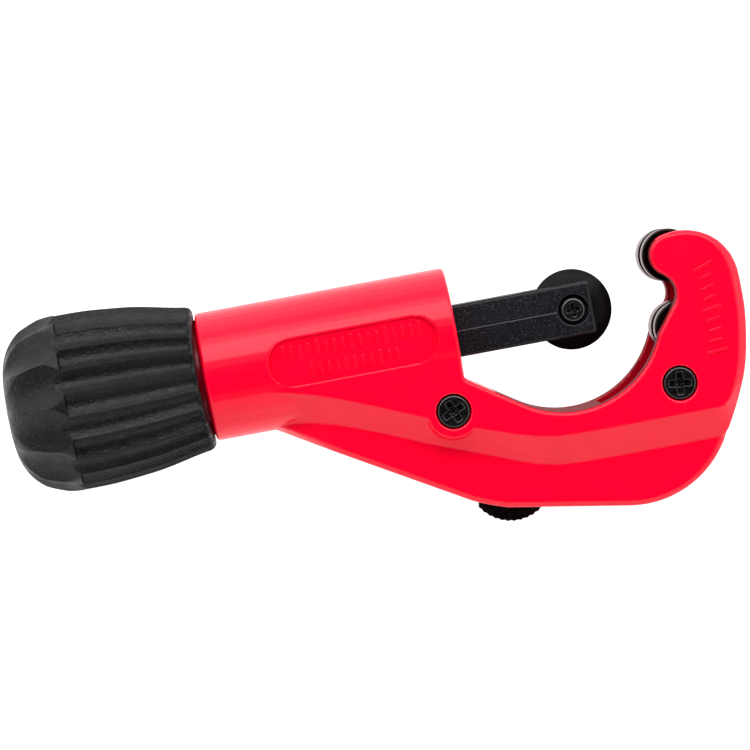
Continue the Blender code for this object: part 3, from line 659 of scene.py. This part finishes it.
def rounded_bar(centre, length, width, turn=0.0):
    """The outline of a bar with round ends, `turn` degrees from X."""
    radius = width / 2
    reach = length / 2 - radius
    steps = max(6, round(6 * radius))
    place = Matrix.Translation((*centre, 0)) @ Matrix.Rotation(math.radians(turn), 4, "Z")
    outline = []
    for end, start in ((reach, -90), (-reach, 90)):
        for i in range(steps + 1):
            angle = math.radians(start + 180 * i / steps)
            point = place @ Vector((end + radius * math.cos(angle), radius * math.sin(angle), 0))
            outline.append((point.x, point.y))
    return outline


def tick(centre, length, turn, face, rise):
    """A graduation bar that stands `rise` above a face."""
    outline = rounded_bar(centre, length, TICK_WIDTH, turn)
    return slab("tick", outline, face - TICK_ROOT, face + rise, TICK_EDGE)


def raised_marks(side):
    """The graduation bars in a cheek's pocket and up its jaw."""
    bars = []
    for count, y, length in POCKET_ROWS:
        for i in range(count):
            x = POCKET_X + POCKET_TICK_PITCH * (i - (count - 1) / 2)
            reach = length + (0 if i % 4 else POCKET_TICK_EXTRA)
            bars.append(tick((x, y), reach, 90, POCKET_FLOOR, POCKET_TICK_RISE))
    for i in range(JAW_TICKS):
        bow = 0.35 * math.sin(i / (JAW_TICKS - 1) * math.pi)
        centre = (58.9 + bow, -15.6 + JAW_TICK_PITCH * i)
        reach = JAW_TICK_LENGTH + (0 if i % 4 else JAW_TICK_EXTRA)
        bars.append(tick(centre, reach, 4 + 2 * i, CHEEK_Z, JAW_TICK_RISE))
    marks = joined(f"raised_marks_{side}", bars)
    if side == "far":
        marks.data.transform(Matrix.Scale(-1, 4, (0, 0, 1)))
        marks.data.flip_normals()
    return shaded(marks, 40)


# ---------------------------------------------------------------- knob

KNOB_RIM_X = -63.4
KNOB_RADIUS = 21.25
KNOB_SIDE = [
    (KNOB_RIM_X, 16.2), (-63.8, 17.0), (-64.6, 17.5), (-66, 17.8), (-70, 18.75), (-76, 19.95),
    (-82, 20.65), (-88, 21.15), (-94, KNOB_RADIUS), (-95.4, KNOB_RADIUS), (-98, 21.05),
    (-101, 20.4), (-103.5, 19.2), (-105.6, 17.5), (-107.5, 15.1), (-108.9, 12.0), (-109.5, 9.0),
    (-109.7, 7.0),
]  # fmt: skip
# The stepped recess in the end holds the plug and the screw, and the hollow takes the neck.
KNOB_RECESS = [
    (-109.7, 6.6), (-109.6, 6.5), (-107.5, 6.5), (-107.5, 5.2), (-103.0, 5.2), (-103.0, 2.4),
    (-99.3, 2.4),
]  # fmt: skip
KNOB_RECESS_REACH = 6.9
KNOB_HOLLOW = [(-99.3, 8.4), (-86.8, 8.4), (-86.8, 14.3), (-63.8, 14.3), (KNOB_RIM_X, 14.7)]
# Points this far before the skirt's end keep the flutes' end walls sharp.
SKIRT_END_X = -95.0
SKIRT_END_ROWS = (0.24, 0.12, 0.01)
RIM_GROWTH = 1.2
RIM_GROWTH_REACH = 5.0

FLUTES = 24
FLUTE_DEPTH = 1.45
FLUTE_RUN_IN = 1.2
FLUTE_WALL = 0.2
OPEN_FLUTE_END_X = -97.2
SCALLOPS = 12
SCALLOP_DEPTH = 2.3
SCALLOP_MIDDLE_X = -101.6
SCALLOP_REACH = 7.9
SCALLOP_SPREAD = 0.9


def clamped(value, low=0, high=1):
    return min(max(value, low), high)


def flute(x, angle):
    """The depth of the skirt's flutes. Every second one opens into a scallop, and the rest end in
    a wall."""
    place = angle * FLUTES / math.tau + 0.5
    across = place % 1 * 2 - 1
    run_in = clamped((KNOB_RIM_X - x) / FLUTE_RUN_IN, 0.3)
    end = OPEN_FLUTE_END_X if math.floor(place) % 2 else SKIRT_END_X
    return FLUTE_DEPTH * (1 - across**2) * run_in * clamped((x - end) / FLUTE_WALL)


def scallop(x, angle):
    """The depth of the dome's lens-shaped scallops."""
    across = (angle * SCALLOPS / math.tau) % 1 * 2 - 1
    along = (x - SCALLOP_MIDDLE_X) / SCALLOP_REACH
    return SCALLOP_DEPTH * max(1 - along**2 - SCALLOP_SPREAD * across**2, 0)


def rim_growth(x, angle):
    """The rim is longer above and below than at its near and far sides."""
    share = clamped(1 - (KNOB_RIM_X - x) / RIM_GROWTH_REACH)
    return RIM_GROWTH * math.cos(angle) ** 2 * share


def subdivided(points, step):
    """The polyline with points added so that none is further than `step` from the next."""
    result = []
    for start, end in zip(points, points[1:]):
        count = max(1, math.ceil((Vector(end) - Vector(start)).length / step))
        result += [tuple(Vector(start).lerp(Vector(end), i / count)) for i in range(count)]
    return result + [points[-1]]


def knob_grip():
    side = subdivided(spline_through(KNOB_SIDE, 5), 0.45)
    side += [(SKIRT_END_X + offset, KNOB_RADIUS) for offset in SKIRT_END_ROWS]
    side.sort(key=lambda point: (-point[0], -point[1]))

    def shape(x, angle, radius):
        if radius < KNOB_RECESS_REACH or (x, radius) in KNOB_HOLLOW:
            return radius
        return radius - max(flute(x, angle), scallop(x, angle))

    profile = side + KNOB_RECESS + KNOB_HOLLOW
    grip = turned("knob_grip", profile, FLUTES * 16, shape=shape, crease=24)
    for vertex in grip.data.vertices:
        place = vertex.co
        place.x += rim_growth(place.x, math.atan2(place.z, place.y))
    return grip


# ---------------------------------------------------------------- screws

THREAD_PITCH = 0.7
SHANK_STEPS = 28
SHANK_CREASE = 70
# The cross recess's outline above its mouth, at its mouth and at its point: the wings' length and
# half width against their length at the mouth.
RECESS_RINGS = ((1.08, 0.30), (1.0, 0.27), (0.40, 0.14))
RECESS_CLEARANCE = 0.6


def cross_cutter(wing, top, depth, centre, turn):
    """A cross recess's tool: four tapered wings, `wing` long at the top, with a blunt point."""
    rings = []
    heights = (top + RECESS_CLEARANCE, top, top - depth)
    for (length, width), height in zip(RECESS_RINGS, heights):
        reach, half = wing * length, wing * width
        corners = []
        for quarter in range(4):
            angle = math.radians(turn + 90 * quarter)
            along = Vector((math.cos(angle), math.sin(angle)))
            aside = Vector((-along.y, along.x))
            tip, hip = along * reach, (along + aside) * half
            for place in (tip - aside * half, tip + aside * half, hip):
                corners.append((centre[0] + place.x, centre[1] + place.y, height))
        rings.append(corners)
    count = len(rings[0])
    vertices = [corner for ring in rings for corner in ring]
    faces = [list(range(count)), list(range(2 * count, 3 * count))]
    for level in range(2):
        for i in range(count):
            j = (i + 1) % count
            first, second = level * count, (level + 1) * count
            faces.append([first + i, first + j, second + j, second + i])
    return solid("cross_cutter", vertices, faces)


def threaded(crest, depth, low, high):
    """A radius rule that cuts a helical V thread between two distances along a turned piece."""

    def shape(distance, angle, radius):
        if not low < distance < high or abs(radius - crest) > 0.01:
            return radius
        turn = (distance / THREAD_PITCH - angle / math.tau) % 1
        return radius - depth * min(1, 1.15 * (1 - abs(2 * turn - 1)))

    return shape


def evenly(start, end, radius, spacing=0.1):
    """Profile points along a straight stretch."""
    count = max(1, round(abs(end - start) / spacing))
    return [(start + (end - start) * i / count, radius) for i in range(count + 1)]


def head(name, profile, centre, wing, depth, turn):
    """A cross-head screw's head, cold formed: its recess has soft edges."""
    piece = turned(name, profile, 64, "Z", (*centre, 0))
    cut(piece, cross_cutter(wing, profile[0][0], depth, centre, turn))
    return worn(piece, 0.11, 5, crease=60)


def through_screw(name, node, centre, turn):
    """An M4 screw: its head from the near side, and the threaded shank that ends in the far nut."""
    low, high = tool_box(node)
    top, bottom = high.z, low.z
    radius, crest = (high.x - low.x) / 2, 1.95
    under = top - 2.6
    cap = [(top, 0), (top, radius - 0.45), (top - 0.12, radius - 0.12), (top - 0.45, radius)]
    cap += [(under + 0.15, radius), (under, radius - 0.15), (under, 1.2), (under, 0)]
    crown = head(f"{name}_head", cap, centre, 2.75, 2.0, turn)
    thread_top = bottom + 9
    shank = [(bottom, 0), (bottom, crest - 0.45), (bottom + 0.4, crest)]
    shank += evenly(bottom + 0.5, thread_top, crest)
    shank += [(thread_top + 0.3, crest), (under + 0.1, crest), (under + 0.1, 0)]
    rule = threaded(crest, 0.32, bottom + 0.45, thread_top)
    place = (*centre, 0)
    body = turned(f"{name}_shank", shank, SHANK_STEPS, "Z", place, rule, SHANK_CREASE)
    return joined(name, [crown, body])


def wheel_screw():
    """The wheel's axle screw, whose head is sunk in the slide's near side."""
    low, high = tool_box("wheel_screw")
    centre = (WHEEL_X, 0)
    top, bottom = high.z, low.z
    cap = [(top, 0), (top - 0.04, 1.7), (top - 0.14, 2.4), (top - 0.34, 2.8), (top - 0.75, 3.0)]
    cap += [(top - 1.8, 3.0), (top - 1.8, 2.4), (-2.6, 2.4), (-2.6, 0)]
    crown = head("wheel_screw_head", cap, centre, 1.85, 1.5, 93)
    crest = 1.7
    shank = [(bottom, 0), (bottom, crest - 0.4), *evenly(bottom + 0.4, -2.7, crest)]
    shank += [(-2.5, crest), (-2.5, 0)]
    rule = threaded(crest, 0.3, bottom + 0.3, -2.9)
    place = (*centre, 0)
    body = turned("wheel_screw_shank", shank, SHANK_STEPS, "Z", place, rule, SHANK_CREASE)
    return joined("fork_screw", [crown, body])


# ---------------------------------------------------------------- slide and wheel

# Points this near to the slide's side faces are on them. A face starts to slope over the blend's
# length: it drops by the first, and by the second for each millimetre from the parting line.
SIDE_SKIN = 0.35
SIDE_BLEND = 4.0
SIDE_DROP = 0.12
SIDE_SLOPE = 0.05
PARTING_LINE_WIDTH = 0.26
PARTING_LINE_EDGE = 0.05


def slide_casting():
    """The slide: two side faces that slope a little from a parting line, and are flat round the
    wheel screw."""
    casting = worn(cad_copy("slide", "slide_casting"), 0.22, 2, keep=0.45)
    low, high = tool_box("slide")
    inner, outer = high.z - SIDE_SKIN, high.z - 0.01
    for vertex in casting.data.vertices:
        place = vertex.co
        if abs(place.z) > inner:
            share = clamped((FORK_END_PAD_X - place.x) / SIDE_BLEND)
            drop = share * (SIDE_DROP + SIDE_SLOPE * abs(place.y))
            place.z -= math.copysign(drop, place.z)
    length = FORK_END_PAD_X - low.x
    outline = rounded_bar((low.x + length / 2, 0), length - 2, PARTING_LINE_WIDTH)
    lines = [
        slab("line", outline, *heights, PARTING_LINE_EDGE)
        for heights in ((inner, outer), (-outer, -inner))
    ]
    return joined("slide_casting", [casting, *lines])


def cutter_wheel():
    """The wheel: hub faces, a ground flank and a steeper cutting bevel that ends in an edge."""
    low, high = tool_box("cutter_wheel")
    radius = (high.x - low.x) / 2
    half = high.z
    outside = [(half, 2.75), (half, 4.5), (1.8, 5.0), (1.35, 7.5), (0.55, radius - 0.9)]
    outside.append((0.04, radius))
    profile = eased(outside + [(-z, r) for z, r in reversed(outside)], 0.16)
    return turned("cutting_wheel", profile, 144, "Z", (WHEEL_X, 0, 0), crease=25)


# ---------------------------------------------------------------- rollers

ROLLER_BORE = 2.9
GROOVE_DEPTH = 0.9


def roller(name, node):
    """A roller with a wide groove for a flared tube's lip, and broken edges."""
    low, high = tool_box(node)
    centre = (low + high) / 2
    radius, half = (high.y - low.y) / 2, high.z
    end, groove = radius - 0.4, radius - GROOVE_DEPTH
    profile = [(half, ROLLER_BORE), (half, end), (half - 0.4, radius), (4.3, radius), (3.9, groove)]
    profile += [(-0.4, groove), (-0.9, radius), (0.4 - half, radius), (-half, end)]
    profile.append((-half, ROLLER_BORE))
    return turned(name, eased(profile, 0.1), 96, "Z", (centre.x, centre.y, 0), crease=30)


# ---------------------------------------------------------------- build


def build_frame():
    paint = red_paint()
    add_piece(frame_casting(), paint, "red_paint", "frame_body", "frame")
    for side in ("near", "far"):
        add_piece(raised_marks(side), paint, "red_paint", "frame_body")


def build_knob():
    add_piece(knob_grip(), moulded_plastic(), "black_plastic", "knob_body", "knob")


def build_slide():
    add_piece(slide_casting(), black_casting(), "black_casting", "slide_body", "slide")
    add_piece(cutter_wheel(), blued_wheel(), "black_steel", "wheel_body", "cutter_wheel")


def build_screws():
    oxide = black_oxide()
    for node, turn in (("reamer_screw", 24), ("jaw_screw", 84)):
        low, high = tool_box(node)
        centre = ((low.x + high.x) / 2, (low.y + high.y) / 2)
        piece = through_screw(f"{node}_detail", node, centre, turn)
        add_piece(piece, oxide, "black_steel", "frame_body", node)
    add_piece(wheel_screw(), oxide, "black_steel", "slide_body", "wheel_screw")


def build_rollers():
    steel = turned_steel()
    for side in ("upper", "lower"):
        piece = roller(f"grooved_roller_{side}", f"roller_{side}")
        add_piece(piece, steel, "plain_steel", f"roller_{side}_body", f"roller_{side}")


def finish_cad_nodes():
    """Procedural materials for the CAD nodes that stay, by the names of their own materials."""
    finishes = {
        "plain_steel": plated_steel(),
        "brass": bearing_brass(),
        "black_steel": black_oxide(),
        "black_plastic": moulded_plastic(),
        "black_casting": black_casting(),
        "red_paint": red_paint(),
    }
    for obj in nodes.values():
        for place in obj.material_slots:
            named = place.material.name if place.material else ""
            key = next((slot for slot in finishes if named.startswith(slot)), "plain_steel")
            place.material = finishes[key]


bpy.context.scene.view_settings.view_transform = "Standard"
add_camera()
for name, placing in SOFT_BOXES.items():
    add_softbox(name, *placing)
add_world()
add_floor()
build_frame()
build_knob()
build_slide()
build_screws()
build_rollers()
finish_cad_nodes()
